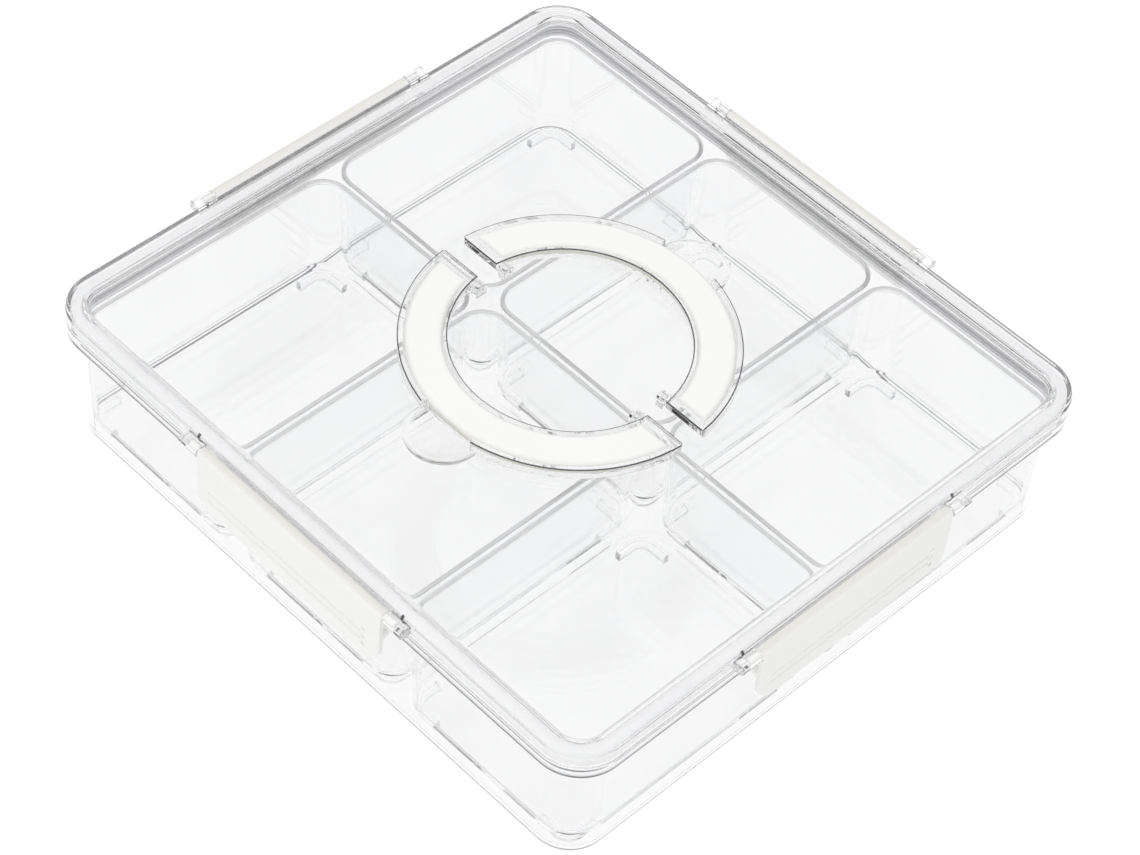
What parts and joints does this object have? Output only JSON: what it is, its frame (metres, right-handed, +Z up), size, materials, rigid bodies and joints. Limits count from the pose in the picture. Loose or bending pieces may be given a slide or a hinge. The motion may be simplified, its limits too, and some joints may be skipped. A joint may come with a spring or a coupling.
{
  "type": "divided food tray with lid",
  "caption": "Clear plastic divided food tray with lift-out compartments, a sealed clear lid with a folding ring handle, and an ivory latch on each side.",
  "frame": {"origin": "middle of the underside, on the surface that the box stands on", "axes": "+Z up; +X along the long side, over the three columns of compartments; -Y is the front long side"},
  "size_m": [0.3396, 0.317, 0.0809],
  "materials": {
    "base_clear": "clear, polished",
    "compartment_clear": "clear, polished",
    "lid_clear": "clear, polished",
    "handle_clear": "clear, polished",
    "grip_ivory": "ivory, satin",
    "latch_ivory": "ivory, satin",
    "seal": "soft, translucent"
  },
  "bodies": {
    "base": {"base_tray": "base_clear"},
    "lid": {"lid": "lid_clear", "lid_seal": "seal"},
    "box_front_left": {"compartment_front_left": "compartment_clear"},
    "box_front_middle": {"compartment_front_middle": "compartment_clear"},
    "box_front_right": {"compartment_front_right": "compartment_clear"},
    "box_back_left": {"compartment_back_left": "compartment_clear"},
    "box_back_middle": {"compartment_back_middle": "compartment_clear"},
    "box_back_right": {"compartment_back_right": "compartment_clear"},
    "ring_front": {"handle_frame_front": "handle_clear", "handle_grip_front": "grip_ivory"},
    "ring_back": {"handle_frame_back": "handle_clear", "handle_grip_back": "grip_ivory"},
    "latch_front": {"latch_front": "latch_ivory"},
    "latch_back": {"latch_back": "latch_ivory"},
    "latch_left": {"latch_left": "latch_ivory"},
    "latch_right": {"latch_right": "latch_ivory"}
  },
  "joints": [
    {"name": "lid_lift", "type": "slide", "parent": "base", "child": "lid", "axis": [0, 0, 1], "range_m": [0, 0.15]},
    {"name": "box_front_left_lift", "type": "slide", "parent": "base", "child": "box_front_left", "axis": [0, 0, 1], "range_m": [0, 0.0706]},
    {"name": "box_front_middle_lift", "type": "slide", "parent": "base", "child": "box_front_middle", "axis": [0, 0, 1], "range_m": [0, 0.0706]},
    {"name": "box_front_right_lift", "type": "slide", "parent": "base", "child": "box_front_right", "axis": [0, 0, 1], "range_m": [0, 0.0706]},
    {"name": "box_back_left_lift", "type": "slide", "parent": "base", "child": "box_back_left", "axis": [0, 0, 1], "range_m": [0, 0.0706]},
    {"name": "box_back_middle_lift", "type": "slide", "parent": "base", "child": "box_back_middle", "axis": [0, 0, 1], "range_m": [0, 0.0706]},
    {"name": "box_back_right_lift", "type": "slide", "parent": "base", "child": "box_back_right", "axis": [0, 0, 1], "range_m": [0, 0.0706]},
    {"name": "ring_front_hinge", "type": "hinge", "parent": "lid", "child": "ring_front", "pos_m": [0, -0.008, 0.0775], "axis": [-1, 0, 0], "range_deg": [0, 90]},
    {"name": "ring_back_hinge", "type": "hinge", "parent": "lid", "child": "ring_back", "pos_m": [0, 0.008, 0.0775], "axis": [1, 0, 0], "range_deg": [0, 90]},
    {"name": "latch_front_hinge", "type": "hinge", "parent": "lid", "child": "latch_front", "pos_m": [0, -0.15465, 0.0736], "axis": [-1, 0, 0], "range_deg": [0, 110]},
    {"name": "latch_back_hinge", "type": "hinge", "parent": "lid", "child": "latch_back", "pos_m": [0, 0.15465, 0.0736], "axis": [1, 0, 0], "range_deg": [0, 110]},
    {"name": "latch_left_hinge", "type": "hinge", "parent": "lid", "child": "latch_left", "pos_m": [-0.1659, 0, 0.0736], "axis": [0, 1, 0], "range_deg": [0, 110]},
    {"name": "latch_right_hinge", "type": "hinge", "parent": "lid", "child": "latch_right", "pos_m": [0.1659, 0, 0.0736], "axis": [0, -1, 0], "range_deg": [0, 110]}
  ],
  "couplings": [
    {"joint": "box_front_left_lift", "follows": "lid_lift", "ratio": 0.47},
    {"joint": "box_front_middle_lift", "follows": "lid_lift", "ratio": 0.47},
    {"joint": "box_front_right_lift", "follows": "lid_lift", "ratio": 0.47},
    {"joint": "box_back_left_lift", "follows": "lid_lift", "ratio": 0.47},
    {"joint": "box_back_middle_lift", "follows": "lid_lift", "ratio": 0.47},
    {"joint": "box_back_right_lift", "follows": "lid_lift", "ratio": 0.47}
  ]
}
